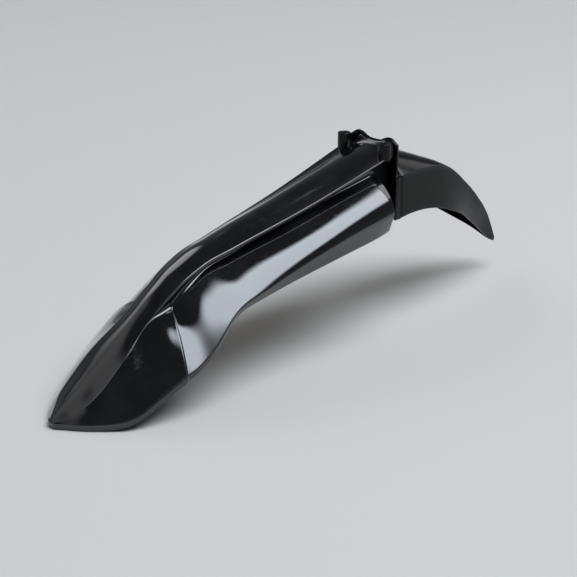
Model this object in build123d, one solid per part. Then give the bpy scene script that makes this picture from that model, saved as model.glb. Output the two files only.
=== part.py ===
from build123d import *
import math
import os

# Motorcycle front mudguard: one moulded shell with a raised plate, recessed flanks,
# a spoon-shaped nose, a mount with two screw bosses, and a short tail behind the fork.
# Frame: +X to the front, +Y to the rider's left, +Z along the screws; the origin lies
# midway between the two boss tops. Millimetres.

# shell
WALL = 2.8
RIM_HEIGHT = 6.5
LIP_EDGE = 4.0
LIP_UNDERCUT = 2.5
SHOULDER_STEP = 0.4
CREASE_STEP = 2.0

# stations along the length
BULKHEAD_X = -16.0
FLANK_END_X = 18.0
SWELL_X = 243.0
CREASE_X = 311.0
LIP_TIP_X = 352.0
NOSE_TIP_X = 472.0
TAIL_TIP_X = -256.0

# half-widths
PLATE_HALF = 41.0
LIP_TIP_HALF = 20.0
FLANK_HALF = 70.5
NOSE_HALF = 83.0
NOSE_TIP_HALF = 5.0
NECK_HALF = 25.0
TAIL_HALF = 47.0
TAIL_TIP_HALF = 3.0

# side walls
CREASE_SWEEP = 0.44
CREASE_LAP = 8.0
BEVEL_LENGTH = 9.0
BEVEL_RISE = 2.6

# mount
BOSS_SPACING = 68.0
BOSS_DIAMETER = 16.0
BOSS_BORE = 6.6
BOSS_DEPTH = 31.0
BULKHEAD_THICKNESS = 3.5
TAIL_LAP = 7.0
EAR_HEIGHT = 1.5
EAR_INSET = 10.0
SADDLE_DEPTH = 6.0
WEB_THICKNESS = 4.0
WEB_DROP = 4.0


def rail(*points):
    """A smooth line through a few (x, value) points, read back at any x."""
    xs = [p[0] for p in points]
    vs = [p[1] for p in points]
    steps = [(vs[i + 1] - vs[i]) / (xs[i + 1] - xs[i]) for i in range(len(xs) - 1)]
    slopes = [steps[0]]
    for i in range(1, len(steps)):
        before, after = steps[i - 1], steps[i]
        near, far = xs[i] - xs[i - 1], xs[i + 1] - xs[i]
        lean = (far * before + near * after) / (near + far)
        limit = 3 * min(abs(before), abs(after)) if before * after > 0 else 0
        slopes.append(max(-limit, min(limit, lean)))
    slopes.append(steps[-1])

    def at(x):
        i = max([0] + [k for k in range(len(steps)) if xs[k] <= x])
        h = xs[i + 1] - xs[i]
        t = (x - xs[i]) / h
        a = vs[i] + t * h * slopes[i]
        b = vs[i + 1] - (1 - t) * h * slopes[i + 1]
        s = t * t * (3 - 2 * t)
        return a * (1 - s) + b * s

    return at


def plate(share):
    """A place along the plate, from the bulkhead (0) to the lip's tip (1)."""
    return BULKHEAD_X + share * (LIP_TIP_X - BULKHEAD_X)


def flank(share):
    """A place along the straight part of the flank, from its rear end (0) to the swell (1)."""
    return FLANK_END_X + share * (SWELL_X - FLANK_END_X)


def nose(share):
    """A place along the nose, from the lip's tip (0) to the foremost point (1)."""
    return LIP_TIP_X + share * (NOSE_TIP_X - LIP_TIP_X)


def tail(share):
    """A place along the tail, from the bulkhead (0) to the rear tip (1)."""
    return BULKHEAD_X + share * (TAIL_TIP_X - BULKHEAD_X)


def taper(share):
    """Half-width of the plate on the way from the bulkhead (0) to the lip's tip (1)."""
    return PLATE_HALF + share * (LIP_TIP_HALF - PLATE_HALF)


def bulge(share):
    """A place along the swell, from where the flank starts to widen (0) to the crease (1)."""
    return SWELL_X + share * (CREASE_X - SWELL_X)


def swell(share):
    """Half-width on the way from the flank (0) out to the nose (1)."""
    return FLANK_HALF + share * (NOSE_HALF - CREASE_STEP / 2 - FLANK_HALF)


def slant(line, x):
    """How much longer a wall gets in a cross-section because the line climbs along x."""
    slope = (line(x + 1) - line(x - 1)) / 2
    return math.sqrt(1 + min(slope * slope, 2.0))


def pt(x, yz):
    return Vector(x, yz[0], yz[1])


def bow(start, start_angle, end, end_angle, pull=0.38):
    """Control points of a curve that leaves and arrives at the given angles."""
    reach = pull * math.hypot(end[0] - start[0], end[1] - start[1])
    a, b = math.radians(start_angle), math.radians(end_angle)
    first = (start[0] + reach * math.cos(a), start[1] + reach * math.sin(a))
    second = (end[0] - reach * math.cos(b), end[1] - reach * math.sin(b))
    return [start, first, second, end]


def loop(x, *parts):
    """The edges of a closed section at x; a pair of points is a straight edge."""
    edges = []
    for part in parts:
        p, q = part[0], part[-1]
        if len(part) == 2:
            thirds = [(p[0] + t * (q[0] - p[0]), p[1] + t * (q[1] - p[1])) for t in (1 / 3, 2 / 3)]
            part = [p] + thirds + [q]
        edges.append([pt(x, corner) for corner in part])
    return edges


def skin(stations, section):
    """A closed solid through cross-sections: smooth patches between the stations, flat ends."""
    rows = [section(x) for x in stations]
    leans = []
    for x in stations:
        low, high = max(x - 0.5, stations[0]), min(x + 0.5, stations[-1])
        span = 1 / (high - low)
        pairs = zip(section(low), section(high))
        leans.append([[(b - a) * span for a, b in zip(before, after)] for before, after in pairs])
    faces = [Face(Wire([Bezier(*edge) for edge in row])) for row in (rows[0], rows[-1])]
    for i in range(len(rows) - 1):
        third = (stations[i + 1] - stations[i]) / 3
        for k in range(len(rows[i])):
            ends = zip(rows[i][k], leans[i][k], rows[i + 1][k], leans[i + 1][k])
            net = [[a, a + u * third, b - v * third, b] for a, u, b, v in ends]
            faces.append(Face.make_bezier_surface(net))
    return Solid(Shell(faces))


# plate and the shoulder that carries its lip on over the nose
crown_z = rail(
    (BULKHEAD_X, -8.5), (plate(0.21), -25), (plate(0.45), -47.5), (plate(0.69), -69.2),
    (plate(0.82), -84.6), (plate(0.91), -104), (LIP_TIP_X, -129),
    (nose(0.4), -167), (nose(0.73), -197.5), (NOSE_TIP_X, -221.2),
)
lip_y = rail(
    (BULKHEAD_X, PLATE_HALF), (plate(0.48), taper(0.46)), (plate(0.82), taper(0.81)),
    (LIP_TIP_X, LIP_TIP_HALF), (nose(0.4), 0.34 * NOSE_HALF),
    (nose(0.65), 0.325 * NOSE_HALF), (nose(0.86), 0.18 * NOSE_HALF),
    (NOSE_TIP_X, 0.4 * NOSE_TIP_HALF),
)
lip_z = rail(
    (BULKHEAD_X, -12.5), (plate(0.07), -19.5), (plate(0.26), -39.5), (plate(0.48), -60.2),
    (plate(0.69), -78.2), (plate(0.82), -91.7), (plate(0.91), -111), (LIP_TIP_X, -135.5),
    (nose(0.4), -172.5), (nose(0.73), -204.5), (NOSE_TIP_X, -221.7),
)
lip_angle = rail(
    (BULKHEAD_X, 20), (plate(0.21), 16), (plate(0.4), 6), (plate(0.56), -8), (plate(0.75), -16),
    (LIP_TIP_X, -16), (nose(0.4), -14), (NOSE_TIP_X, -14),
)

# nose
nose_drop = rail(
    (CREASE_X - 11, 18), (CREASE_X + 11, 13), (CREASE_X + 27, 6.5), (LIP_TIP_X, SHOULDER_STEP),
    (NOSE_TIP_X, SHOULDER_STEP),
)
nose_undercut = rail((CREASE_X - 11, 1.5), (CREASE_X + 11, 1.0), (LIP_TIP_X, 0.3), (NOSE_TIP_X, 0.3))
nose_y = rail(
    (CREASE_X - 11, 0.97 * NOSE_HALF), (CREASE_X + 8, NOSE_HALF), (nose(-0.05), 0.985 * NOSE_HALF),
    (nose(0.12), 0.948 * NOSE_HALF), (nose(0.27), 0.898 * NOSE_HALF), (nose(0.42), 0.837 * NOSE_HALF),
    (nose(0.55), 0.741 * NOSE_HALF), (nose(0.66), 0.608 * NOSE_HALF), (nose(0.76), 0.467 * NOSE_HALF),
    (nose(0.86), 0.313 * NOSE_HALF), (nose(0.946), 0.15 * NOSE_HALF), (NOSE_TIP_X, NOSE_TIP_HALF),
)
nose_z = rail(
    (CREASE_X - 11, -151), (CREASE_X + 3, -162.5), (CREASE_X + 23, -173.5), (nose(0.03), -185),
    (nose(0.27), -201.2), (nose(0.42), -212.2), (nose(0.49), -216.6), (nose(0.55), -218.7),
    (nose(0.66), -221.3), (nose(0.76), -222), (NOSE_TIP_X, -222.3),
)
nose_start = rail(
    (CREASE_X - 11, -12), (CREASE_X + 19, -12), (LIP_TIP_X, -18), (nose(0.32), -28), (nose(0.57), -32),
    (NOSE_TIP_X, -30),
)
nose_turn = rail(
    (CREASE_X - 11, -45), (LIP_TIP_X, -46), (nose(0.23), -49), (nose(0.4), -50), (nose(0.73), -45),
    (NOSE_TIP_X, -20),
)

# flank
flank_drop = rail(
    (FLANK_END_X, 15.5), (flank(0.45), 10), (SWELL_X, 9.5), (bulge(0.65), 11),
    (CREASE_X + 11, 13 + CREASE_STEP), (CREASE_X + 27, 6.5 + CREASE_STEP), (CREASE_X + 59, CREASE_STEP),
)
flank_undercut = rail(
    (FLANK_END_X, 3.3), (flank(0.8), LIP_UNDERCUT), (CREASE_X + 11, 1.5), (CREASE_X + 59, 1.5),
)
flank_y = rail(
    (FLANK_END_X, swell(0)), (flank(0.44), swell(0.06)), (SWELL_X, swell(0.18)),
    (bulge(0.19), swell(0.23)), (bulge(0.4), swell(0.36)), (bulge(0.63), swell(0.62)),
    (bulge(0.84), swell(0.9)),
    (CREASE_X + 6, swell(1)), (CREASE_X + 37, swell(0.89)), (CREASE_X + 59, swell(0.56)),
)
flank_z = rail(
    (FLANK_END_X, -76.4), (flank(0.44), -92.5), (flank(0.72), -106.4), (SWELL_X, -121.6),
    (bulge(0.19), -124.1), (bulge(0.4), -129.1), (bulge(0.63), -141.2), (bulge(0.84), -152.9),
    (CREASE_X + 4, -164.3), (CREASE_X + 37, -181.5), (CREASE_X + 59, -193.5),
)
flank_tuck = rail(
    (FLANK_END_X, 9), (flank(0.15), 5), (SWELL_X, 2.8), (bulge(0.84), 0.8), (CREASE_X + 59, 0.5),
)
flank_band = rail(
    (FLANK_END_X, 25), (flank(0.44), 20), (flank(0.72), 14.5), (SWELL_X, 8.6),
    (bulge(0.4), 1.1 * RIM_HEIGHT), (CREASE_X + 59, RIM_HEIGHT),
)
flank_start = rail(
    (FLANK_END_X, -26), (flank(0.81), -27), (bulge(0.18), -25), (bulge(0.69), -17), (CREASE_X, -13),
    (CREASE_X + 36, -12), (CREASE_X + 59, -12),
)
flank_turn = rail(
    (FLANK_END_X, -86), (flank(0.36), -75), (flank(0.72), -64), (SWELL_X, -55), (bulge(0.62), -50),
    (CREASE_X, -47), (CREASE_X + 36, -45), (CREASE_X + 59, -44),
)

# tail
tail_top = rail(
    (TAIL_TIP_X, -189), (tail(0.95), -171.5), (tail(0.87), -148.5), (tail(0.7), -107),
    (tail(0.52), -71.5), (tail(0.37), -46.5), (tail(0.29), -37.5), (tail(0.14), -24), (BULKHEAD_X, -17),
)
tail_y = rail(
    (TAIL_TIP_X, TAIL_TIP_HALF), (tail(0.96), 0.15 * TAIL_HALF), (tail(0.89), 0.31 * TAIL_HALF),
    (tail(0.81), 0.48 * TAIL_HALF), (tail(0.72), 0.64 * TAIL_HALF), (tail(0.61), 0.78 * TAIL_HALF),
    (tail(0.44), 0.915 * TAIL_HALF), (tail(0.23), 0.98 * TAIL_HALF), (BULKHEAD_X, TAIL_HALF),
)
tail_z = rail(
    (TAIL_TIP_X, -190), (tail(0.9), -159), (tail(0.72), -115), (tail(0.52), -74.3), (tail(0.37), -48),
    (tail(0.23), -42), (tail(0.13), -40.7), (BULKHEAD_X, -43),
)
tail_lean = rail(
    (TAIL_TIP_X, 1), (tail(0.944), 5.8), (tail(0.87), 10.6), (tail(0.76), 12.3), (tail(0.59), 7.6),
    (tail(0.39), 0.7), (BULKHEAD_X, 0.5),
)
tail_foot = rail(
    (TAIL_TIP_X, -195), (tail(0.944), -187.6), (tail(0.87), -173.6), (tail(0.705), -146.4),
    (tail(0.59), -128.2), (tail(0.5), -117.4), (tail(0.39), -105.9), (tail(0.23), -96), (tail(0.12), -94),
    (BULKHEAD_X, -97),
)
tail_thin = rail((TAIL_TIP_X, 0.4), (tail(0.92), 0.8), (tail(0.8), 1), (BULKHEAD_X, 1))
tail_angle = rail((TAIL_TIP_X, -12), (tail(0.45), -12), (tail(0.2), -40), (BULKHEAD_X, -45))


def plate_section(x):
    """Half of the plate: crown, valley and lip edge above, a plainer curve below."""
    wall = WALL * slant(crown_z, x)
    half, low, angle = lip_y(x), lip_z(x), lip_angle(x)
    edge = max(wall, LIP_EDGE)
    crown, under = (0, crown_z(x)), (0, crown_z(x) - wall)
    lip, foot = (half, low), (half, low - edge)
    heel = (half - min(LIP_EDGE, half / 3), low - edge)
    return loop(
        x,
        bow(crown, 0, lip, angle),
        (lip, foot),
        (foot, heel),
        bow(heel, 180 + min(angle, 0.3 * angle), under, 180),
        (under, crown),
    )


def side_section(x, root_drop, undercut, edge, foot, start_angle, end_angle):
    """Half of a side wall: it hangs from the plate's edge, swells to its widest line and turns down."""
    wall = WALL * slant(crown_z, x)
    band = WALL * slant(nose_y, x) if x > CREASE_X else WALL
    hang = rail((FLANK_END_X, 2.2), (CREASE_X, 2.0), (LIP_TIP_X, 0.6), (NOSE_TIP_X, 0.6))(x)
    inset = rail((FLANK_END_X, WALL), (CREASE_X, WALL), (LIP_TIP_X, WALL / 2), (NOSE_TIP_X, WALL / 3))(x)
    root = (lip_y(x) - undercut, lip_z(x) - root_drop)
    start = (root[0] - 0.6, lip_z(x) - hang)
    start_in = (start[0] - inset, start[1] - 1.0)
    turn = math.radians(-end_angle)
    edge_in = (edge[0] - wall * math.sin(turn), edge[1] - wall * math.cos(turn))
    root_in = (root[0] - 0.75 * inset, root[1] - 0.9 * wall)
    foot_in = (foot[0] - band, foot[1])
    return loop(
        x,
        (start, root),
        bow(root, start_angle, edge, end_angle),
        (edge, foot),
        (foot, foot_in),
        (foot_in, edge_in),
        bow(edge_in, 180 + end_angle, root_in, 180 + start_angle),
        (root_in, start_in),
        (start_in, start),
    )


def flank_edge(x):
    """The flank's widest line and its lower edge at x."""
    edge = (flank_y(x), flank_z(x))
    return edge, (edge[0] - flank_tuck(x), edge[1] - flank_band(x))


def flank_section(x):
    edge, foot = flank_edge(x)
    angles = flank_start(x), flank_turn(x)
    return side_section(x, flank_drop(x), flank_undercut(x), edge, foot, *angles)


def nose_section(x):
    edge = (nose_y(x), nose_z(x))
    foot = (edge[0], edge[1] - RIM_HEIGHT)
    angles = nose_start(x), nose_turn(x)
    return side_section(x, nose_drop(x), nose_undercut(x), edge, foot, *angles)


def tail_section(x):
    """Half of the tail: a crowned top, a shoulder and a side panel that ends in the lower edge."""
    wall = WALL * slant(tail_top, x) * tail_thin(x)
    side = WALL * slant(tail_y, x) * tail_thin(x)
    top, shoulder = (0, tail_top(x)), (tail_y(x), tail_z(x))
    foot = (shoulder[0] - tail_lean(x), tail_foot(x))
    under, inner = (0, top[1] - wall), (shoulder[0] - side, shoulder[1] - wall)
    foot_in = (foot[0] - side * tail_thin(x), foot[1])
    angle = tail_angle(x)
    return loop(
        x,
        bow(top, 0, shoulder, angle),
        (shoulder, foot),
        (foot, foot_in),
        (foot_in, inner),
        bow(inner, 180 + angle, under, 180),
        (under, top),
    )


def plate_shell():
    stations = [plate(s) for s in (0, 0.35, 0.69, 0.8, 0.9, 1)]
    stations += [nose(s) for s in (0.4, 0.65, 0.86, 1.0)]
    return skin(stations, plate_section)


def crease_plane(ahead):
    """The upright plane of the step between flank and nose; it sweeps forward towards the rim."""
    along = Vector(CREASE_SWEEP, 1, 0)
    return Plane((CREASE_X + ahead, 0, 0), x_dir=along, z_dir=Vector(1, -CREASE_SWEEP, 0))


def bevel_plane():
    """The plane of the bevel that takes the corner off the flank's rear end."""
    edge = flank_edge(FLANK_END_X)[0]
    low = Vector(FLANK_END_X, edge[0], edge[1] + 5)
    high = Vector(FLANK_END_X, 0.7 * edge[0], lip_z(FLANK_END_X) - 1.45 * flank_drop(FLANK_END_X))
    down = (low - high).normalized()
    out = Vector(0, -down.Z, down.Y)
    forward = Vector(BEVEL_LENGTH, 0, 0) + out * BEVEL_RISE
    return Plane(low, x_dir=forward, z_dir=down.cross(forward) * -1)


def flank_shell():
    stations = [flank(s) for s in (0, 0.5, 1)]
    stations += [bulge(s) for s in (0.25, 0.55, 0.84)] + [CREASE_X + d for d in (6, 24, 54)]
    shell = skin(stations, flank_section)
    return split(shell, bisect_by=crease_plane(CREASE_LAP), keep=Keep.BOTTOM)


def nose_shell():
    stations = [CREASE_X - 11, CREASE_X + 20]
    stations += [nose(s) for s in (0.02, 0.25, 0.42, 0.54, 0.66, 0.82, 1.0)]
    shell = skin(stations, nose_section)
    return split(shell, bisect_by=crease_plane(0), keep=Keep.TOP)


def tail_shell():
    stations = [tail(s) for s in (1.0, 0.9, 0.76, 0.55, 0.37, 0.2, 0.005)]
    return skin(stations, tail_section)


def upright(outline, thickness):
    """A flat wall across the mudguard: an outline of edges at one x, thickened forward."""
    return extrude(make_face(outline), amount=thickness, dir=(1, 0, 0))


def bulkhead():
    """Half of the wall behind the bosses: its ear, its saddle and the leg that closes the tail's front."""
    x = BULKHEAD_X - BULKHEAD_THICKNESS
    boss = BOSS_SPACING / 2
    shoulder, low = tail_z(BULKHEAD_X), tail_foot(BULKHEAD_X)
    saddle, ear = (0, EAR_HEIGHT - SADDLE_DEPTH), (boss - EAR_INSET, EAR_HEIGHT)
    corner, side = (boss, EAR_HEIGHT - 5.1), (boss + 5.5, EAR_HEIGHT - 7)
    leg, inner = TAIL_HALF - 1, NECK_HALF - WALL
    top = Spline(pt(x, saddle), pt(x, ear), tangents=[(0, 1, 0), (0, 1, 0.1)])
    corners = [
        ear, corner, side, (side[0], shoulder + 4), (leg, shoulder - 0.5), (leg, low), (inner, low),
        (inner, shoulder + 9), (0, shoulder + 17), saddle,
    ]
    rest = Polyline(*[pt(x, p) for p in corners])
    lap = Box(TAIL_LAP, WALL, shoulder - 6 - low, align=(Align.MIN, Align.MAX, Align.MIN))
    return upright(top.edges() + rest.edges(), BULKHEAD_THICKNESS) + Pos(BULKHEAD_X, leg, low) * lap


def flank_end():
    """Half of the wall that closes the flank's rear end."""
    x = FLANK_END_X
    root = (lip_y(x) - flank_undercut(x), lip_z(x) - flank_drop(x))
    edge, foot = flank_edge(x)
    inner, top = NECK_HALF - WALL / 2, lip_z(x) - WALL
    curve = bow(root, flank_start(x), edge, flank_turn(x))
    outline = [Bezier(*[pt(x, p) for p in curve])]
    corners = [edge, foot, (inner, foot[1]), (inner, top), (root[0] - 3, top), root]
    rest = Polyline(*[pt(x, p) for p in corners])
    return upright(outline + rest.edges(), WALL)


def neck():
    """Half of the narrow waist between flank and tail."""
    back, front = BULKHEAD_X - 1, FLANK_END_X + WALL
    wall = Polyline(
        (back, NECK_HALF, lip_z(back) - WALL / 2), (front, NECK_HALF, lip_z(front) - WALL / 2),
        (front, NECK_HALF, flank_edge(front)[1][1]), (back, NECK_HALF, tail_foot(BULKHEAD_X)), close=True,
    )
    return extrude(make_face(wall.edges()), amount=WALL, dir=(0, -1, 0))


def boss_post():
    """One boss with the web that ties it to the bulkhead and the gusset that props it from the lip."""
    y, out = BOSS_SPACING / 2, BOSS_SPACING / 2 + BOSS_DIAMETER / 2
    post = Pos(0, y, -BOSS_DEPTH / 2) * Cylinder(BOSS_DIAMETER / 2, BOSS_DEPTH)
    height = BOSS_DEPTH - WEB_DROP - 5
    web = Pos(BULKHEAD_X / 2, y, -WEB_DROP - height / 2) * Box(-BULKHEAD_X, WEB_THICKNESS, height)
    low = lip_z(0) - LIP_EDGE
    prop = Polyline(
        (0, y, -WEB_DROP), (0, out - 0.5, -WEB_DROP), (0, out + 1.5, low), (0, y, low), close=True,
    )
    return post + web + extrude(make_face(prop.edges()), amount=WEB_THICKNESS, both=True, dir=(1, 0, 0))


def nose_cap():
    """Half of the rim's short flat at the foremost point."""
    low, back = nose_z(NOSE_TIP_X) - RIM_HEIGHT, NOSE_TIP_X - WALL
    outline = Polyline(
        (NOSE_TIP_X, 0, low), (NOSE_TIP_X, nose_y(NOSE_TIP_X), low),
        (back, nose_y(back) - 0.3, low), (back, 0, low), close=True,
    )
    return extrude(make_face(outline.edges()), amount=RIM_HEIGHT - 0.5, dir=(0, 0, 1))


side = split(flank_shell() + flank_end(), bisect_by=bevel_plane(), keep=Keep.BOTTOM)
half = plate_shell()
for name, piece in (
    ("flank", side), ("nose", nose_shell()), ("tail", tail_shell()), ("bulkhead", bulkhead()),
    ("neck", neck()), ("boss", boss_post()), ("cap", nose_cap()),
):
    print(name, [s.is_valid for s in piece.solids()], [round(s.volume) for s in piece.solids()])
    half = half + piece
whole = half + mirror(half, about=Plane.XZ)
for y in (-BOSS_SPACING / 2, BOSS_SPACING / 2):
    whole -= Pos(0, y, -BOSS_DEPTH / 2) * Cylinder(BOSS_BORE / 2, BOSS_DEPTH + 2)

print("solids", len(whole.solids()), "valid", whole.is_valid, "volume", whole.volume, whole.bounding_box())
os.makedirs("parts", exist_ok=True)
export_step(whole.solids()[0] if len(whole.solids()) == 1 else whole, "parts/mudguard.step")
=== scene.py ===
# %% [markdown]
# # A motorcycle front mudguard
# The real thing is one injection moulding in gloss black plastic: a raised centre plate, two
# recessed flanks, a spoon-shaped nose, a mount that hangs under the fork clamp and a pointed tail.
# The imported CAD model is loaded first. It fixes the frame and the size, and the meshes made here
# stand in its place. It is kept in the scene, hidden.

# %% Load the imported model
import math
import bpy
import bmesh
from mathutils import Matrix, Vector


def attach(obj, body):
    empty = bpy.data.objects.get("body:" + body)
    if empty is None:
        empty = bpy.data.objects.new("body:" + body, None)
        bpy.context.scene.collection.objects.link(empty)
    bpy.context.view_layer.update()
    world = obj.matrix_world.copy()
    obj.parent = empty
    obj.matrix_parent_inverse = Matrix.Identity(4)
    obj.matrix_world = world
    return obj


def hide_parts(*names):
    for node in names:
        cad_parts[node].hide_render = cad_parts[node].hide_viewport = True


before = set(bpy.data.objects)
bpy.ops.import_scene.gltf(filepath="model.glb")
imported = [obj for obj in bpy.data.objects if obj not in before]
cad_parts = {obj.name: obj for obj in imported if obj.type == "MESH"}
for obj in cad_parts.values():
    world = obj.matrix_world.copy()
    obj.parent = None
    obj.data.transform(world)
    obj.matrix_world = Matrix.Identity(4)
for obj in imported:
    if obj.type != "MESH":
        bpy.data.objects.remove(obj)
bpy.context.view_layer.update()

# %% [markdown]
# ## The lines that drive the shell
# A moulding like this is drawn as a handful of long lines: the crown, the lip, the widest line of
# the flank, the rim of the nose. Each line is a few measured points, in millimetres, joined by a
# smooth curve. Everything else on the shell is hung between these lines, so a change to one of
# them moves the whole surface with it.

# %% Rails
def rail(*points):
    """A smooth line through a few (x, value) points, read back at any x."""
    xs = [p[0] for p in points]
    vs = [p[1] for p in points]
    steps = [(vs[i + 1] - vs[i]) / (xs[i + 1] - xs[i]) for i in range(len(xs) - 1)]
    slopes = [steps[0]]
    for i in range(1, len(steps)):
        before, after = steps[i - 1], steps[i]
        near, far = xs[i] - xs[i - 1], xs[i + 1] - xs[i]
        lean = (far * before + near * after) / (near + far)
        limit = 3 * min(abs(before), abs(after)) if before * after > 0 else 0
        slopes.append(max(-limit, min(limit, lean)))
    slopes.append(steps[-1])

    def at(x):
        i = max([0] + [k for k in range(len(steps)) if xs[k] <= x])
        h = xs[i + 1] - xs[i]
        t = (x - xs[i]) / h
        a = vs[i] + t * h * slopes[i]
        b = vs[i + 1] - (1 - t) * h * slopes[i + 1]
        s = t * t * (3 - 2 * t)
        return a * (1 - s) + b * s

    return at


print("halfway along a rail from 0 to 10:", rail((0, 0), (1, 10))(0.5))

# %% [markdown]
# ### The plate
# The plate is the raised centre of the mudguard. It is crowned across, narrows towards the front
# and ends in a lip along each side. Crown and lip are read along x. The line `ear_z` is the top
# edge of the bulkhead and is read across the part, because the plate curls up to meet it.

# %% The plate's lines
NOSE_TIP_X = 472.0
crown_z = rail(
    (-16, -8.5), (61, -25), (150, -47.5), (238, -69.2), (286, -84.6), (319, -104),
    (352, -129), (400, -167), (440, -197.5), (472, -221.2),
)
lip_y = rail(
    (-16, 41), (161, 31.3), (286, 24), (352, 20), (400, 28.2), (430, 27), (455, 14.9), (472, 2),
)
lip_z = rail(
    (-16, -12.5), (10, -19.5), (80, -39.5), (161, -60.2), (238, -78.2), (286, -91.7), (319, -111),
    (352, -135.5), (400, -172.5), (440, -204.5), (472, -221.7),
)
lip_angle = rail(
    (-16, 20), (60, 16), (130, 6), (190, -8), (260, -16), (352, -16), (400, -14), (472, -14),
)
ear_z = rail(
    (0, -4.5), (7, -4.2), (13, -2.6), (18.5, 0.2), (23, 1.3), (25.5, 1.4), (29.5, 0.8), (34, -1.8),
    (37.5, -4.2), (39.5, -5.5),
)
print("crown at the mount and at the tip of the nose", crown_z(0), crown_z(NOSE_TIP_X))

# %% [markdown]
# ### The nose
# The nose is the spoon in front of the crease. Its side wall leaves the plate and falls to a rim
# that turns round the tip. The lines of nose and flank are named alike: how far the root of the
# wall lies below the lip (drop) and inside it (undercut), the widest line (y and z), and the angles
# in degrees at which the wall leaves its root (start) and comes to the widest line (turn).

# %% The nose's lines
nose_drop = rail((300, 18), (322, 13), (338, 6.5), (352, 0.4), (472, 0.4))
nose_undercut = rail((300, 1.5), (322, 1), (352, 0.3), (472, 0.3))
nose_y = rail(
    (300, 80.5), (319, 83), (346, 81.8), (366, 78.7), (384, 74.5), (402, 69.5), (418, 61.5),
    (431, 50.5), (443, 38.8), (455, 26), (465, 12.5), (472, 5),
)
nose_z = rail(
    (300, -151), (314, -162.5), (334, -173.5), (356, -185), (384, -201.2), (402, -212.2),
    (411, -216.6), (418, -218.7), (431, -221.3), (443, -222), (472, -222.28),
)
nose_start = rail(
    (300, -12), (330, -12), (347, -18), (365, -29), (385, -33), (420, -32), (472, -30),
)
nose_turn = rail(
    (300, -45), (347, -46), (365, -44), (385, -44), (400, -47), (440, -45), (472, -20),
)
print("half-width of the nose behind its tip", [round(nose_y(x), 1) for x in (350, 400, 450)])

# %% [markdown]
# ### The flank
# The flank is set in under the lip, swells out to its widest line and turns in below it, which
# makes a thin moulding stiff. Towards the crease it flares to the width of the nose. Two more lines
# say how far the band below the widest line turns in (tuck) and how high it is (band), and
# `hang_wall` is the thickness of the wall that hangs under the lip.

# %% The flank's lines
flank_drop = rail((18, 15.5), (119, 10), (243, 9.5), (287, 11), (322, 15), (338, 8.5), (370, 2))
flank_undercut = rail(
    (18, 11), (120, 10), (220, 8.5), (280, 5.5), (308, 2.5), (322, 1.5), (370, 1.5),
)
flank_y = rail(
    (18, 70.5), (117, 71.2), (243, 72.6), (256, 73.1), (270, 74.6), (286, 77.6), (300, 80.9),
    (317, 82), (348, 80.7), (370, 76.9),
)
flank_z = rail(
    (18, -76.4), (117, -92.5), (180, -106.4), (243, -121.6), (256, -124.1), (270, -129.1),
    (286, -141.2), (300, -152.9), (315, -164.3), (348, -181.5), (370, -193.5),
)
flank_tuck = rail((18, 9), (52, 5), (243, 2.8), (300, 0.8), (370, 0.5))
flank_band = rail((18, 25), (117, 20), (180, 14.5), (243, 8.6), (270, 7.15), (370, 6.5))
flank_start = rail(
    (18, -26), (200, -27), (255, -25), (290, -17), (311, -13), (347, -12), (370, -12),
)
flank_turn = rail(
    (18, -86), (99, -75), (180, -64), (243, -55), (285, -50), (311, -47), (347, -45), (370, -44),
)
hang_wall = rail((18, 2.8), (311, 2.8), (352, 1.4), (472, 0.9))
print("half-width of the flank", [round(flank_y(x), 1) for x in (18, 150, 300)])

# %% [markdown]
# ### The tail
# The tail needs its crown, its shoulder, the foot of its upright side and how far that side leans.

# %% The tail's lines
BULKHEAD_X = -16.0
TAIL_TIP_X = -256.0
tail_top = rail(
    (-256, -189), (-244, -171.5), (-224.8, -148.5), (-184, -107), (-140.8, -71.5), (-104.8, -46.5),
    (-85.6, -37.5), (-49.6, -24), (-16, -17),
)
tail_y = rail(
    (-256, 3), (-246.4, 7), (-229.6, 14.6), (-210.4, 22.6), (-188.8, 30.1), (-162.4, 36.7),
    (-121.6, 43), (-71.2, 46.1), (-16, 47),
)
tail_z = rail(
    (-256, -190), (-232, -159), (-188.8, -115), (-140.8, -74.3), (-104.8, -48), (-71.2, -42),
    (-47.2, -40.7), (-16, -43),
)
tail_lean = rail(
    (-256, 1), (-242.6, 5.8), (-224.8, 10.6), (-198.4, 12.3), (-157.6, 7.6), (-109.6, 0.7),
    (-16, 0.5),
)
tail_foot = rail(
    (-256, -195), (-242.6, -187.6), (-224.8, -173.6), (-185.2, -146.4), (-157.6, -128.2),
    (-136, -117.4), (-109.6, -105.9), (-71.2, -96), (-44.8, -94), (-16, -97),
)
tail_thin = rail((-256, 0.4), (-236.8, 0.8), (-208, 1), (-16, 1))
tail_angle = rail((-256, -12), (-124, -12), (-64, -40), (-16, -45))
print("the tail falls from", tail_top(BULKHEAD_X), "to", tail_top(TAIL_TIP_X))

# %% [markdown]
# ## Cross-sections
# Between its corners a slice is made of curves that are fixed by where they leave and arrive, and
# how steeply. They are read at a few stops, which stand close together beside a corner and far
# apart on a calm stretch, because a subdivision surface keeps a corner as tight as its neighbours
# are near.

# %% Curves of a slice
PULL = 0.38


def mix(p, q, share):
    """The point a share of the way from p to q."""
    return tuple(a + share * (b - a) for a, b in zip(p, q))


def bow(start, start_angle, end, end_angle, stops):
    """Points on a curve that leaves and arrives at the given angles, in degrees."""
    reach = PULL * math.dist(start, end)
    a, b = math.radians(start_angle), math.radians(end_angle)
    first = (start[0] + reach * math.cos(a), start[1] + reach * math.sin(a))
    second = (end[0] - reach * math.cos(b), end[1] - reach * math.sin(b))
    points = []
    for t in stops:
        p, q, r = mix(start, first, t), mix(first, second, t), mix(second, end, t)
        points.append(mix(mix(p, q, t), mix(q, r, t), t))
    return points


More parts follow.
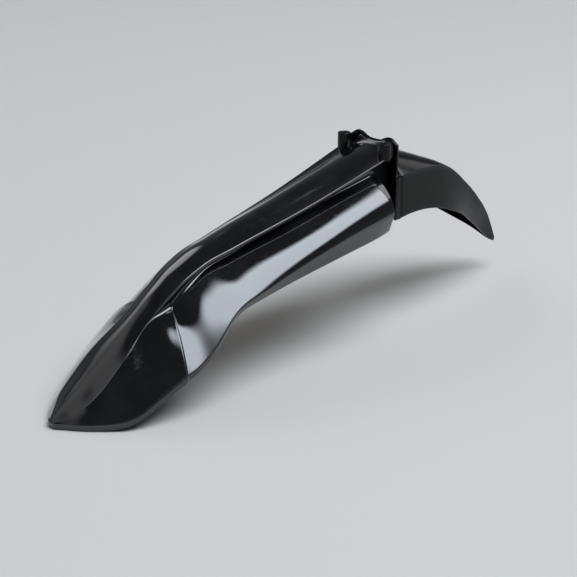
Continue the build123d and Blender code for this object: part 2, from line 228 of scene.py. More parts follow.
def height_at(line, y):
    """The height of a line of points at y, read between its nearest points."""
    for p, q in zip(line, line[1:]):
        if y <= q[0]:
            return mix(p, q, (y - p[0]) / (q[0] - p[0]))[1]
    return line[-1][1]


print("middle of a bow that turns down", bow((0, 0), 0, (10, -10), -90, (0.5,)))

# %% [markdown]
# A slice across the shell has an outer line and an inner line with as many points as each other:
# crown, valley, lip, slot under the lip, root of the side wall, the wall's swell, the widest line,
# the rim. The inner line keeps the wall's thickness from the outer one. A wall that climbs along
# x is cut at a slant, so there the slice draws it thicker.

# %% One slice of the shell
WALL = 2.8
LIP_EDGE = 4.0
CREASE_X = 311.0
PLATE_STOPS = (0, 0.22, 0.44, 0.63, 0.80, 0.94, 1)
SIDE_STOPS = (0, 0.07, 0.2, 0.36, 0.53, 0.7, 0.86, 0.965, 1)
HEEL_STOPS = (0.15, 0.5)
RIM_STOPS = (0.2, 0.8)


def slant(line, x):
    """How much longer a wall gets in a slice because the line climbs along x."""
    slope = (line(x + 1) - line(x - 1)) / 2
    return math.sqrt(1 + min(slope * slope, 2.0))


def shell_slice(x, drop, undercut, edge, foot, start, turn):
    """Half of the shell at x: the outer line, then the inner line, from the middle outwards."""
    wall = WALL * slant(crown_z, x)
    band = WALL * slant(nose_y, x) if x > CREASE_X else WALL
    lip = (lip_y(x), lip_z(x))
    fall = min(LIP_EDGE, 0.5 * drop)
    root = (lip[0] - undercut, lip[1] - drop)
    outer = bow((0, crown_z(x)), 0, lip, lip_angle(x), PLATE_STOPS)
    slot = min(lip[1] - fall, height_at(outer, root[0]) - min(wall, 0.8 * drop))
    outer += [(lip[0], lip[1] - fall), (root[0], slot)]
    outer += bow(root, start, edge, turn, SIDE_STOPS)
    outer += [mix(edge, foot, stop) for stop in RIM_STOPS] + [foot]

    lean = math.radians(-turn)
    edge_in = (edge[0] - wall * math.sin(lean), edge[1] - wall * math.cos(lean))
    root_in = (root[0] - 0.75 * hang_wall(x), root[1] - 0.9 * wall)
    heel = (root_in[0] - 0.4, height_at(outer[:len(PLATE_STOPS)], root_in[0]) - wall)
    foot_in = (foot[0] - band, foot[1])
    inner = bow((0, crown_z(x) - wall), 0, heel, 0.3 * lip_angle(x), PLATE_STOPS)
    inner += [mix(heel, root_in, stop) for stop in HEEL_STOPS]
    inner += bow(root_in, start, edge_in, turn, SIDE_STOPS)
    inner += [mix(edge_in, foot_in, stop) for stop in RIM_STOPS] + [foot_in]
    return outer + inner


print("wall in a slice of the plate and of the steep nose", WALL, WALL * slant(crown_z, 400))

# %% [markdown]
# Flank and nose are the same slice with their own lines. A point has the same number in every
# slice, so the lip, the slot under it, the widest line and the rim can be found by their numbers.

# %% Slices of the flank and the nose
RIM_HEIGHT = 6.5
FLANK_END_X = 18.0


def flank_slice(x):
    """Half of the shell behind the crease: the wall turns in below its widest line."""
    edge = (flank_y(x), flank_z(x))
    foot = (edge[0] - flank_tuck(x), edge[1] - flank_band(x))
    drop, undercut = flank_drop(x), flank_undercut(x)
    return shell_slice(x, drop, undercut, edge, foot, flank_start(x), flank_turn(x))


def nose_slice(x):
    """Half of the shell in front of the crease: the wall ends in an upright rim."""
    edge = (nose_y(x), nose_z(x))
    foot = (edge[0], edge[1] - RIM_HEIGHT)
    drop, undercut = nose_drop(x), nose_undercut(x)
    return shell_slice(x, drop, undercut, edge, foot, nose_start(x), nose_turn(x))


LINE = len(flank_slice(FLANK_END_X)) // 2
LIP = len(PLATE_STOPS) - 1
SLOT = LIP + 2
WIDEST = SLOT + len(SIDE_STOPS)
print("points on each line of a slice", LINE, "with the widest line at", WIDEST)

# %% [markdown]
# ## Rows of points
# Near the crease the rows aren't square across: they lean forward with y, so that the step between
# flank and nose lies along a row. There `nose_step` lets the nose stand a little proud and
# `flank_dip` hollows the flank a little behind it, so that the light breaks on the crease, as it
# does where two surfaces of a mould meet. Both are read where the row starts, on the middle plane.

# %% Leaning rows
SETTLE = 5
nose_step = rail(
    (311, 2.0), (314, 1.45), (318, 0.9), (324, 0.4), (333, 0.1), (345, 0), (472, 0),
)
flank_dip = rail(
    (18, 0), (215, 0), (238, 0.65), (254, 1.2), (270, 1.15), (290, 0.55), (311, 0.1),
)


def leaning_row(x0, sweep, slice_at):
    """The points of one row, which leans forward with y; each point is read where it lands."""
    row = []
    for k in range(len(slice_at(x0))):
        x = x0
        y, z = slice_at(x)[k]
        for _ in range(SETTLE if sweep else 0):
            x = x0 + sweep * y
            y, z = slice_at(x)[k]
        row.append(Vector((x, y, z)))
    return row


def swollen(row, rise):
    """Lifts the middle of a row's side wall; its root and its widest line stay where they are."""
    for k, t in enumerate(SIDE_STOPS, SLOT + 1):
        row[k].z += rise * math.sin(math.pi * t)
    return row


print("step at the crease", nose_step(CREASE_X) + flank_dip(CREASE_X))

# %% [markdown]
# The rear corner of the flank is cut to a flat crescent, broad in the middle of the wall and gone
# at its ends. `BEVEL` gives, for each point of a slice that it touches, where its rear and its
# front edge lie along x, and `BEVEL_LEAN` how a cut is shared between inwards and downwards.

# %% The bevel behind the flank
BEVEL_SLOPE = 0.27
BEVEL_LEAN = (0.6, 0.8)
BEVEL = {
    8: (14, 18), 9: (10, 19), 10: (10, 20.5), 11: (10.5, 21.5), 12: (12, 22.5), 13: (14, 22.5),
    14: (16, 21), 15: (17.4, 19.5), 16: (18, 18.4),
}
PLAIN_END = (FLANK_END_X, FLANK_END_X + 2)


def bevel_row(share):
    """A row at the rear end of the flank, from the rear edge (0) to the front edge (1)."""
    inwards, downwards = BEVEL_LEAN
    row = []
    for i in range(2 * LINE):
        rear, front = BEVEL.get(i % LINE, PLAIN_END)
        x = rear + share * (front - rear)
        cut = BEVEL_SLOPE * max(0, front - x) if i % LINE in BEVEL else 0
        y, z = flank_slice(x)[i]
        row.append(Vector((x, y - inwards * cut, z - downwards * cut)))
    return row


print("breadth of the crescent", max(front - rear for rear, front in BEVEL.values()))

# %% [markdown]
# The rows stand close together where the surface turns fast: at the bevel, at the crease and at
# the tip. A row of the flank is given by its place and by its share of the full lean. The last
# inner line closes on the middle plane, so that the tip is solid.

# %% Rows of the shell
CREASE_SWEEP = 0.44
BEVEL_ROWS = (0, 0.07, 0.5, 0.93, 1, 1.1)
FLANK_ROWS = (
    (31, 0), (43, 0), (62, 0), (85, 0), (110, 0), (135, 0),
    (160, 0), (185, 0), (208, 0), (228, 0), (244, 0), (256, 0.2), (267, 0.35), (277, 0.5),
    (286, 0.66), (294, 0.8), (301, 0.92), (306, 1), (309.3, 1), (311, 1),
)
NOSE_ROWS = (
    311.7, 313.5, 318, 326, 335, 345, 356, 368, 381, 394, 407, 420, 432, 442, 451, 458.5, 464.5,
    468.5,
)
nose_sweep = rail((311, 1), (400, 1), (450, 0.6), (468.5, 0))

shell_rows = [bevel_row(share) for share in BEVEL_ROWS]
for x, share in FLANK_ROWS:
    row = leaning_row(x, share * CREASE_SWEEP, flank_slice)
    shell_rows.append(swollen(row, -flank_dip(x)))
for x in NOSE_ROWS:
    row = leaning_row(x, nose_sweep(x) * CREASE_SWEEP, nose_slice)
    shell_rows.append(swollen(row, nose_step(x)))
for point in shell_rows[-1][LINE:]:
    point.y = 0
print("shell rows", len(shell_rows), "from x", shell_rows[0][0].x, "to", shell_rows[-1][0].x)

# %% [markdown]
# ## Growing the shell row by row
# The first row is a chain of vertices at the rear end of the flank. Extruding the chain and
# setting the new vertices on the next row pulls the shell forward, as a loft would, but the
# result is clean quads whose loops run along the lip, the crease and the rim.

# %% Extrude helpers
def chain_of(bm, points):
    """A chain of vertices and edges through the points."""
    chain = [bm.verts.new(p) for p in points]
    for a, b in zip(chain, chain[1:]):
        bm.edges.new((a, b))
    return chain


def grow(bm, chain, points):
    """Extrudes a chain and sets the new vertices on the points of the next row."""
    edges = [bm.edges.get((a, b)) for a, b in zip(chain, chain[1:])]
    made = bmesh.ops.extrude_edge_only(bm, edges=edges)["geom"]
    fresh = {v for v in made if isinstance(v, bmesh.types.BMVert)}
    row = []
    for old, spot in zip(chain, points):
        links = [e.other_vert(old) for e in old.link_edges]
        new = next(v for v in links if v in fresh)
        new.co = spot
        row.append(new)
    return row


def ladder(bm, outer, inner):
    """Closes the end of a wall with rungs between its outer and inner line."""
    rails = [bm.edges.get(pair) for line in (outer, inner) for pair in zip(line, line[1:])]
    bmesh.ops.bridge_loops(bm, edges=rails)


def both_halves(bm):
    """Adds the mirror half across the middle plane and turns all faces outwards."""
    everything = bm.verts[:] + bm.edges[:] + bm.faces[:]
    bmesh.ops.mirror(bm, geom=everything, matrix=Matrix(), merge_dist=0.001, axis="Y")
    bmesh.ops.recalc_face_normals(bm, faces=bm.faces[:])


def open_edges(bm):
    """How many edges don't have exactly two faces; none, where the shape is closed."""
    return len([e for e in bm.edges if not e.is_manifold])


# %% [markdown]
# The lip, the widest line and the rim are what hands and mud rub first, so those vertices are
# noted as worn. The underside is noted too, because it gets a finish of its own, grained and darker
# as painted shade. The materials read both notes later. Shell and tail grow alike: a chain through
# the first row, the other rows, a solid tip.

# %% Growing a skin
def mark(bm, row, worn, seen):
    """Notes on each vertex of a row how worn it is and whether it lies on the underside."""
    wear, under = bm.verts.layers.float["wear"], bm.verts.layers.float["under"]
    for k, v in enumerate(row):
        v[wear] = worn.get(k, 0)
        v[under] = k >= seen


def grown(rows, count, worn_start, worn):
    """A skin through all the rows; its first and its last chain are given back with it."""
    bm = bmesh.new()
    for layer in ("wear", "under"):
        bm.verts.layers.float.new(layer)
    first = chain_of(bm, rows[0][:count] + rows[0][count:][::-1])
    mark(bm, first, worn_start, count)
    last = first
    for row in rows[1:]:
        last = grow(bm, last, row[:count] + row[count:][::-1])
        mark(bm, last, worn, count)
    return bm, first, last


def close_tip(bm, last, x, tip):
    """Draws the outer half of the last chain on to the tip at x and fills it with one face."""
    spots = [Vector((x, y, z)) for y, z in tip + [(0, tip[-1][1])]]
    bm.faces.new(grow(bm, last[:len(spots)], spots))


def shaded_grain_underside(bm):
    """Gives the faces of the underside the second material, the grained black that is darkened as
    painted shade.
    """
    under = bm.verts.layers.float["under"]
    hidden = [f for f in bm.faces if all(v[under] > 0.5 for v in f.verts)]
    for face in hidden:
        face.material_index = 1
    return len(hidden)


WORN = {LIP: 0.9, LIP + 1: 0.5, WIDEST: 0.7, WIDEST + 1: 0.4, LINE - 1: 0.7}
shell, rear, front = grown(shell_rows, LINE, WORN, WORN)
close_tip(shell, front, NOSE_TIP_X, nose_slice(NOSE_TIP_X)[:LINE])
print("faces in one half of the shell", len(shell.faces))

# %% [markdown]
# At the rear the flank's wall gets a rim, and the plate runs on between the bosses and curls up to
# the bulkhead in a fillet, which is how a moulded plate meets an upright wall without a weak
# corner. Each row of it has a place, a share of the rise to the bulkhead's top edge and a width;
# `CURL` says how much of that rise each point takes, from the middle to the slot under the lip.

# %% The rear end of the shell
PLATE_ROWS = (
    (8, 0, 1), (1, 0, 1), (-4, 0.02, 0.98), (-8, 0.09, 0.88), (-11, 0.25, 0.79),
    (-13.4, 0.52, 0.74), (-15, 0.85, 0.7), (-17.5, 0.9, 0.68),
)
CURL = (1, 1, 1, 1, 0.9, 0.5, 0.2, 0, 0)
PLATE = SLOT + 1
outer, inner = rear[:LINE], rear[LINE:][::-1]
ladder(shell, outer[SLOT:], inner[SLOT:])
ring = outer[:PLATE] + inner[:PLATE][::-1]
for x, rise, narrow in PLATE_ROWS:
    points = [(narrow * y, z) for y, z in flank_slice(x)]
    spots = [
        (y, z + rise * share * (ear_z(y) - 1 - z)) for (y, z), share in zip(points, CURL)
    ]
    spots += points[LINE:LINE + PLATE][::-1]
    ring = grow(shell, ring, [Vector((x, y, z)) for y, z in spots])
    mark(shell, ring, WORN, PLATE)
ladder(shell, ring[:PLATE], ring[PLATE:][::-1])
both_halves(shell)
print("faces on the underside", shaded_grain_underside(shell))
print("shell faces", len(shell.faces), "open edges", open_edges(shell))

# %% [markdown]
# ## The tail
# Behind the fork the mudguard narrows to a pointed tail with a crowned top, a sharp shoulder and
# upright sides. It is grown in the same way, from a chain at the bulkhead back to the tip, and the
# inner line closes on the middle plane just before the tip, so that the tip itself is solid.

# %% One slice of the tail
TOP_STOPS = (0, 0.3, 0.6, 0.85, 0.965, 1)
SIDE_SHARES = (0.05, 0.5, 0.95, 1)
TAIL_LINE = len(TOP_STOPS) + len(SIDE_SHARES)


def tail_slice(x):
    """Half of the tail at x: the outer line, then the inner line, from the middle outwards."""
    wall = WALL * slant(tail_top, x) * tail_thin(x)
    side = WALL * slant(tail_y, x) * tail_thin(x)
    shoulder = (tail_y(x), tail_z(x))
    foot = (shoulder[0] - tail_lean(x), tail_foot(x))
    shoulder_in = (shoulder[0] - side, shoulder[1] - wall)
    foot_in = (foot[0] - side * tail_thin(x), foot[1])
    outer = bow((0, tail_top(x)), 0, shoulder, tail_angle(x), TOP_STOPS)
    outer += [mix(shoulder, foot, share) for share in SIDE_SHARES]
    inner = bow((0, tail_top(x) - wall), 0, shoulder_in, tail_angle(x), TOP_STOPS)
    inner += [mix(shoulder_in, foot_in, share) for share in SIDE_SHARES]
    return outer + inner


print("points on each line of the tail", TAIL_LINE)

# %% [markdown]
# The shoulder and the foot of the side are the worn lines here. The first row lies inside the
# bulkhead and stays clean.

# %% Grow the tail
TAIL_ROWS = (
    -17.5, -24, -34, -47, -62, -78, -95, -112, -130, -148, -166, -184, -201, -217, -231, -242,
    -249, -253,
)
TAIL_WORN = {len(TOP_STOPS) - 1: 0.9, TAIL_LINE - 1: 0.6}
tail_rows = [leaning_row(x, 0, tail_slice) for x in TAIL_ROWS]
for point in tail_rows[-1][TAIL_LINE:]:
    point.y = 0
tail, head, stern = grown(tail_rows, TAIL_LINE, {}, TAIL_WORN)
close_tip(tail, stern, TAIL_TIP_X, tail_slice(TAIL_TIP_X)[:TAIL_LINE])
ladder(tail, head[:TAIL_LINE], head[TAIL_LINE:][::-1])
both_halves(tail)
print("faces on the tail's underside", shaded_grain_underside(tail))
print("tail faces", len(tail.faces), "open edges", open_edges(tail))

# %% [markdown]
# ## The mount
# A wall stands across the mudguard behind the bosses, with an ear beside each of them and a saddle
# between. It is drawn as half an outline, mirrored, extruded to its thickness and bevelled.

# %% The bulkhead
BULKHEAD_THICKNESS = 3.5
BULKHEAD_FOOT = -97.0
EDGE_ROUND = 0.7
EAR_STOPS = (0, 3.5, 7, 10, 13, 16, 19, 21.5, 24, 26.5, 29, 31.5, 34, 37, 39.5)
BULKHEAD_SIDE = [
    (39.5, -39), (46, -43.5), (46, BULKHEAD_FOOT), (22.2, BULKHEAD_FOOT), (22.2, -34), (0, -26),
]


def slab(bm, outline, thickness):
    """A flat outline extruded by its thickness."""
    face = bm.faces.new(chain_of(bm, outline))
    made = bmesh.ops.extrude_face_region(bm, geom=[face])["geom"]
    moved = [v for v in made if isinstance(v, bmesh.types.BMVert)]
    bmesh.ops.translate(bm, vec=thickness, verts=moved)
    bmesh.ops.recalc_face_normals(bm, faces=bm.faces[:])


def bevelled(bm, width, segments=2):
    """Rounds every edge at which the surface turns by more than 25 degrees."""
    limit = math.radians(25)
    sharp = [e for e in bm.edges if e.is_manifold and e.calc_face_angle(0) > limit]
    bmesh.ops.bevel(
        bm, geom=sharp, offset=width, affect="EDGES", segments=segments, profile=0.5, material=-1,
        clamp_overlap=True,
    )


wall = bmesh.new()
half = [(y, ear_z(y)) for y in EAR_STOPS] + BULKHEAD_SIDE
outline = half + [(-y, z) for y, z in half[-2:0:-1]]
slab(wall, [(BULKHEAD_X, y, z) for y, z in outline], (-BULKHEAD_THICKNESS, 0, 0))
bevelled(wall, EDGE_ROUND)
print("bulkhead faces", len(wall.faces), "open edges", open_edges(wall))

# %% [markdown]
# The flank is closed behind by a wall across its end, and a wall along the neck joins that to the
# bulkhead. Both are flat, as walls that face the tool's parting line are, and both end inside the
# thickness of the shell, so no edge of theirs is seen outside it.

# %% The wall behind the flank and the neck
NECK_HALF = 25.0
END_X = FLANK_END_X + 0.4
END_WALL = 2.4
neck = bmesh.new()
end = flank_slice(END_X)
middle = [mix(end[k], end[LINE + k], 0.7) for k in range(SLOT, LINE)]
low = middle[-1][1] + 0.6
outline = [(END_X, NECK_HALF, middle[0][1] + 1)] + [(END_X, y, max(low, z)) for y, z in middle]
slab(neck, outline + [(END_X, NECK_HALF, low)], (END_WALL, 0, 0))

corners = []
for x, bottom in ((END_X + END_WALL, low), (BULKHEAD_X - 1, BULKHEAD_FOOT)):
    under_plate = height_at(flank_slice(x)[:len(PLATE_STOPS)], NECK_HALF) - 1.5
    corners += [(x, NECK_HALF, under_plate), (x, NECK_HALF, bottom)]
slab(neck, [corners[i] for i in (0, 1, 3, 2)], (0, -WALL, 0))
both_halves(neck)
print("neck faces", len(neck.faces))

# %% [markdown]
# Each boss is a short tube for an M6 screw that stands on the end of the lip. Its half profile is
# a few vertices, spun round the screw's axis.

# %% The bosses
BOSS_Y = 34.0
BOSS_FOOT = -21.0
BOSS_PROFILE = (
    (3.3, BOSS_FOOT), (3.3, -0.6), (3.9, 0), (7.0, 0), (7.6, -0.25), (7.9, -0.7), (8.0, -1.3),
    (8.0, -20.4), (7.4, BOSS_FOOT), (3.3, BOSS_FOOT),
)
boss = bmesh.new()
chain_of(boss, [(r, 0, z) for r, z in BOSS_PROFILE])
bmesh.ops.spin(
    boss, geom=boss.verts[:] + boss.edges[:], cent=(0, 0, 0), axis=(0, 0, 1), angle=math.tau,
    steps=48, use_merge=True,
)
bmesh.ops.remove_doubles(boss, verts=boss.verts[:], dist=0.001)
bmesh.ops.translate(boss, vec=(0, BOSS_Y, 0), verts=boss.verts[:])
both_halves(boss)
print("boss faces", len(boss.faces), "open edges", open_edges(boss))

# %% [markdown]
# A web ties each boss to the bulkhead. Below it a lap and a rounded corner stiffen the joint
# between the bulkhead and the tail. All are blocks that are sunk into their neighbours, with the
# rounded edges that a mould leaves.

# %% Webs, laps and corners
TAIL_LAP = 7.0


def block(bm, low, high):
    """A rectangular block between two corners."""
    made = bmesh.ops.create_cube(bm, size=1)["verts"]
    low, high = Vector(low), Vector(high)
    bmesh.ops.scale(bm, vec=high - low, verts=made)
    bmesh.ops.translate(bm, vec=(low + high) / 2, verts=made)


ribs = bmesh.new()
block(ribs, (BULKHEAD_X - 1, BOSS_Y - 2, BOSS_FOOT), (-6, BOSS_Y + 2, -4))
block(ribs, (BULKHEAD_X - 1, 43.2, BULKHEAD_FOOT), (BULKHEAD_X + TAIL_LAP, 46, -47))
bevelled(ribs, EDGE_ROUND)
both_halves(ribs)
knot = bmesh.new()
block(knot, (BULKHEAD_X - 3, 37.5, -51), (BULKHEAD_X + TAIL_LAP, 46.4, -40))
bevelled(knot, 3, segments=4)
both_halves(knot)
print("rib faces", len(ribs.faces), "corner faces", len(knot.faces))

# %% [markdown]
# ## The finish
# The part is polypropylene, black all through. The side that is seen carries the polish of the
# mould: a clear reflection with a faint orange peel in it, a thin film of dust and fine scuffs
# along the length. The tail and the mount are given a duller finish, and the underside has the
# spark grain that lets a moulding leave its tool; both finishes are also written darker and
# reflect less than the polished side, which is painted shade. All three are one recipe with other
# numbers, and every pattern is given by its size in millimetres.

# %% Node helpers
MM = 0.001


def linear(code):
    """A colour written as sRGB hex, turned to the linear values that Blender mixes."""
    parts = [int(code[i:i + 2], 16) / 255 for i in (1, 3, 5)]
    return [c / 12.92 if c <= 0.04045 else ((c + 0.055) / 1.055) ** 2.4 for c in parts] + [1.0]


def add(tree, kind, values={}, links=(), **settings):
    """Adds a node with its settings, its sockets' values and links (socket, source, output)."""
    node = tree.nodes.new(kind)
    for name, value in settings.items():
        setattr(node, name, value)
    for socket, value in values.items():
        node.inputs[socket].default_value = value
    for socket, source, output in links:
        tree.links.new(source.outputs[output], node.inputs[socket])
    return node


def fresh_material(name):
    """A material with an empty node tree."""
    material = bpy.data.materials.new(name)
    material.use_nodes = True
    material.node_tree.nodes.clear()
    return material, material.node_tree


print("a middle grey in linear light", linear("#808080"))

# %% [markdown]
# What the eye reads as plastic is its reflection, so most of the recipe steers how clear that is:
# clouds of dust tint the black, scuffs along the length dull it, rubbed edges turn grey, and two
# bumps bend the mirror image, long sink waves from cooling and the small peel of the skin. Real
# scuffs are hair fine; here they are 1.6 mm wide, because finer ones wouldn't show.

# %% Moulded plastic
CLOUD_MM = 45
SCUFF_MM = 1.6
SINK_MM = 55
SINK_DEPTH_MM = 0.12
SCUFF_STRETCH = (0.06, 1, 1)


def moulded(name, black, dust, chafed, polish, dulled, coat, gleam, peel_mm, peel_depth_mm):
    """Black plastic: dusty in patches, dulled in streaks, greyer on worn edges, with a skin."""
    material, tree = fresh_material(name)
    spot = add(tree, "ShaderNodeTexCoord")
    place = [("Vector", spot, "Object")]

    cloud = add(tree, "ShaderNodeTexNoise", {"Scale": 1 / (CLOUD_MM * MM), "Detail": 4}, place)
    film = add(
        tree, "ShaderNodeMapRange", {"From Min": 0.42, "From Max": 0.75},
        [("Value", cloud, "Fac")], interpolation_type="SMOOTHSTEP",
    )
    dusty = add(
        tree, "ShaderNodeMix", {"A": linear(black), "B": linear(dust)},
        [("Factor", film, "Result")], data_type="RGBA",
    )

    along = add(tree, "ShaderNodeMapping", {"Scale": SCUFF_STRETCH}, place)
    scratch = add(
        tree, "ShaderNodeTexNoise", {"Scale": 1 / (SCUFF_MM * MM), "Detail": 3},
        [("Vector", along, "Vector")],
    )
    scuff = add(
        tree, "ShaderNodeMapRange", {"From Min": 0.5, "From Max": 0.8},
        [("Value", scratch, "Fac")],
    )
    worn = add(tree, "ShaderNodeAttribute", attribute_name="wear")
    rubbed = add(
        tree, "ShaderNodeMath", {}, [(0, scuff, "Result"), (1, worn, "Fac")], operation="ADD",
    )
    dull = add(
        tree, "ShaderNodeMapRange", {"To Min": polish, "To Max": dulled},
        [("Value", rubbed, "Value")],
    )
    edge = add(
        tree, "ShaderNodeMath", {}, [(0, worn, "Fac"), (1, cloud, "Fac")], operation="MULTIPLY",
    )
    tint = add(
        tree, "ShaderNodeMix", {"B": linear(chafed)},
        [("Factor", edge, "Value"), ("A", dusty, "Result")], data_type="RGBA",
    )

    wave = add(tree, "ShaderNodeTexNoise", {"Scale": 1 / (SINK_MM * MM), "Detail": 1}, place)
    sink = add(
        tree, "ShaderNodeBump", {"Strength": 1.0, "Distance": SINK_DEPTH_MM * MM},
        [("Height", wave, "Fac")],
    )
    peel = add(tree, "ShaderNodeTexNoise", {"Scale": 1 / (peel_mm * MM), "Detail": 2}, place)
    bump = add(
        tree, "ShaderNodeBump", {"Strength": 1.0, "Distance": peel_depth_mm * MM},
        [("Height", peel, "Fac"), ("Normal", sink, "Normal")],
    )
    skin = add(
        tree, "ShaderNodeBsdfPrincipled",
        {"IOR": 1.49, "Specular IOR Level": gleam, "Coat Weight": coat, "Coat Roughness": 0.03},
        [("Base Color", tint, "Result"), ("Roughness", dull, "Result"), ("Normal", bump, "Normal")],
    )
    add(tree, "ShaderNodeOutputMaterial", {}, [("Surface", skin, "BSDF")])
    return material


# %% [markdown]
# Three finishes of the one plastic. They differ in how clear the mirror is, in how deep the skin's
# pattern is, and a little in the black itself; the darker black and the weaker mirror of the dull
# and the grained finish are painted shade.

# %% Three finishes
# to the eye: a black mirror with soft edges to everything in it
gloss = moulded(
    "gloss_black_polypropylene", black="#08080a", dust="#141416", chafed="#4a4a4d", polish=0.06,
    dulled=0.22, coat=0.75, gleam=0.5, peel_mm=2.6, peel_depth_mm=0.004,
)
# to the eye: the same black gone dull and a little brown, so that lamps spread to a haze; the
# darker black and dust and the weak reflection are painted shade on the tail and the mount
shaded_satin = moulded(
    "weathered_black_polypropylene_with_painted_shade", black="#060506", dust="#11100f", chafed="#48464a", polish=0.2,
    dulled=0.3, coat=0, gleam=0.24, peel_mm=1.8, peel_depth_mm=0.006,
)
# to the eye: an even dry grey-black without reflections; the real grain is finer than 0.7 mm, and
# is drawn that coarse so that it shows; its darker black and weak reflection are painted shade
# in the neck and under the shell
shaded_grain = moulded(
    "grained_black_polypropylene_with_painted_shade", black="#070708", dust="#101011", chafed="#2c2c2d", polish=0.55,
    dulled=0.75, coat=0, gleam=0.2, peel_mm=0.7, peel_depth_mm=0.05,
)
print("materials", [m.name for m in (gloss, shaded_satin, shaded_grain)])

# %% [markdown]
# Each mesh becomes an object at the origin. The two grown skins are smoothed as subdivision
# surfaces, and the built pieces of the mount keep their bevelled edges sharp.

# %% Turn a bmesh into a finished object
def finished(bm, name, materials, levels=2):
    """Makes the object: millimetres become metres and the surface is smoothed."""
    bmesh.ops.scale(bm, vec=(MM, MM, MM), verts=bm.verts[:])
    mesh = bpy.data.meshes.new(name)
    bm.to_mesh(mesh)
    bm.free()
    piece = bpy.data.objects.new(name, mesh)
    bpy.context.scene.collection.objects.link(piece)
    for material in materials:
        mesh.materials.append(material)
    mesh.shade_smooth()
    if levels:
        smooth = piece.modifiers.new("smooth", "SUBSURF")
        smooth.levels = levels
        smooth.render_levels = levels
    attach(piece, "root")
    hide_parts("mudguard")
    print(name, "faces", len(mesh.polygons))
    return piece


# the grained underside and neck and the dull tail and mount carry painted shade in their darker
# finishes
finished(shell, "mudguard_shell", [gloss, shaded_grain])
finished(tail, "mudguard_tail", [shaded_satin, shaded_grain])
for bm, name, material in (
    (wall, "mudguard_bulkhead", shaded_satin),
    (neck, "mudguard_neck", shaded_grain),
    (boss, "mudguard_bosses", shaded_satin),
    (ribs, "mudguard_ribs", shaded_satin),
    (knot, "mudguard_corners", shaded_satin),
):
    piece = finished(bm, name, [material], levels=0)
    piece.data.set_sharp_from_angle(angle=math.radians(35))

# %% [markdown]
# ## The studio
# The part stands on pale paper, which lies just under the lowest point of the rim and reaches so
# far that its end isn't seen.

# %% Floor
FLOOR_Z = -0.2295
bpy.ops.mesh.primitive_plane_add(size=60, location=(0, 0, FLOOR_Z))
floor = bpy.context.object
floor.name = "floor"
paper, tree = fresh_material("pale_paper")
# to the eye: an even matt sheet that shows the part's soft shadow
matte = add(tree, "ShaderNodeBsdfPrincipled", {"Base Color": linear("#bbb8b4"), "Roughness": 0.9})
add(tree, "ShaderNodeOutputMaterial", {}, [("Surface", matte, "BSDF")])
floor.data.materials.append(paper)

# %% [markdown]
# The room is dim overhead and paler near the horizon, so that a mirror-like part isn't lost in
# black where no lamp is.

# %% Room
world = bpy.data.worlds.new("studio")
bpy.context.scene.world = world
world.use_nodes = True
tree = world.node_tree
tree.nodes.clear()
look = add(tree, "ShaderNodeTexCoord")
height = add(tree, "ShaderNodeSeparateXYZ", {}, [("Vector", look, "Generated")])
room = add(tree, "ShaderNodeValToRGB", {}, [("Fac", height, "Z")])
room.color_ramp.elements[0].color = linear("#989a9d")
room.color_ramp.elements[1].color = linear("#4c4d51")
for spot, shade in ((0.1, "#707275"), (0.35, "#5c5e62")):
    room.color_ramp.elements.new(spot).color = linear(shade)
glow = add(tree, "ShaderNodeBackground", {}, [("Color", room, "Color")])
add(tree, "ShaderNodeOutputWorld", {}, [("Surface", glow, "Background")])
print("shades of the room", len(room.color_ramp.elements))

# %% [markdown]
# ### Lamps
# Gloss black shows almost nothing but what it mirrors, so the lamps are placed by what each face
# should mirror: one large softbox overhead draws the bright patch along the flank, a panel on the
# far side lights the plate's far shoulder, and two weak ones lift the nose and the bevel on the
# flank. A softbox is described by where the part sees it: one direction, another direction and a
# width in degrees. Its distance only sets how evenly it lights the floor, and its light fades
# towards its edge, so the reflection of it on the plastic has a soft border.

# %% Softboxes
CENTRE = Vector((0.15, 0.0, -0.1))
DISTANCE = 7.0


def toward(azimuth, elevation):
    """The direction at an azimuth from +X and an elevation above the floor, in degrees."""
    a, e = math.radians(azimuth), math.radians(elevation)
    return Vector((math.cos(e) * math.cos(a), math.cos(e) * math.sin(a), math.sin(e)))


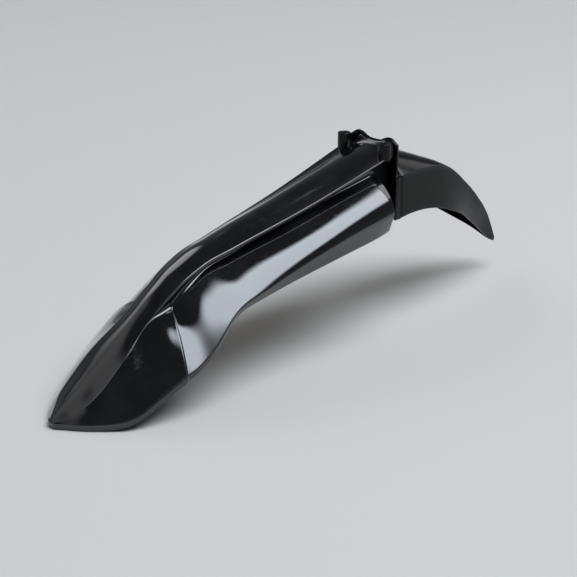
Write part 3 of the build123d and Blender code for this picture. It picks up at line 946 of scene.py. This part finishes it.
def feather(lamp, core):
    """Makes the lamp an oval, even in its core and fading to its edge, as a softbox does."""
    lamp.use_nodes = True
    tree = lamp.node_tree
    tree.nodes.clear()
    place = add(tree, "ShaderNodeNewGeometry")
    away = add(
        tree, "ShaderNodeVectorMath", {1: (0.5, 0.5, 0)}, [(0, place, "Parametric")],
        operation="DISTANCE",
    )
    fade = add(
        tree, "ShaderNodeMapRange", {"From Min": 0.5, "From Max": 0.5 * core},
        [("Value", away, "Value")], interpolation_type="SMOOTHSTEP",
    )
    light = add(tree, "ShaderNodeEmission", {}, [("Strength", fade, "Result")])
    add(tree, "ShaderNodeOutputLight", {}, [("Surface", light, "Emission")])


def softbox(name, start, end, width, core, radiance, tint="#ffffff"):
    """A softbox that the part sees from one direction to another, with its width in degrees."""
    first, last = toward(*start), toward(*end)
    out = (first + last).normalized()
    along = (last - first).normalized()
    lamp = bpy.data.lights.new(name, "AREA")
    lamp.shape = "RECTANGLE"
    lamp.size = 2 * DISTANCE * math.tan(first.angle(last) / 2)
    lamp.size_y = 2 * DISTANCE * math.tan(math.radians(width) / 2)
    lamp.energy = radiance * math.pi * lamp.size * lamp.size_y
    lamp.color = linear(tint)[:3]
    feather(lamp, core)
    box = bpy.data.objects.new(name, lamp)
    box.location = CENTRE + DISTANCE * out
    box.rotation_euler = Matrix((along, out.cross(along), out)).transposed().to_euler()
    bpy.context.scene.collection.objects.link(box)
    print(name, "is", round(lamp.size, 2), "m by", round(lamp.size_y, 2), "m")


softbox("sky_panel", (32, 64), (150, 42), width=51, core=0.68, radiance=7.2, tint="#eef7ff")
softbox("far_panel", (-92, 18), (-92, 62), width=40, core=0.5, radiance=1.8)
softbox("nose_panel", (-78, 33), (20, 36), width=24, core=0.5, radiance=0.5)
softbox("rear_panel", (179, 24), (179, 52), width=30, core=0.6, radiance=1.6)

# %% [markdown]
# The camera stands in front of the part on its left and looks down on it, with a long lens, as in
# the photo. Its place was found by matching the outline of the CAD model to the outline there.

# %% Camera
EYE = Vector((1.2628, 1.2200, 0.4981))
AIM = Vector((0.1849, 0.0641, -0.1279))
lens = bpy.data.cameras.new("camera")
lens.lens = 93.6
lens.sensor_width = 36
camera = bpy.data.objects.new("camera", lens)
camera.location = EYE
camera.rotation_euler = (AIM - EYE).to_track_quat("-Z", "Y").to_euler()
bpy.context.scene.collection.objects.link(camera)
bpy.context.scene.camera = camera
bpy.context.scene.view_settings.view_transform = "Standard"
print("camera", round((AIM - EYE).length, 2), "m from the part")
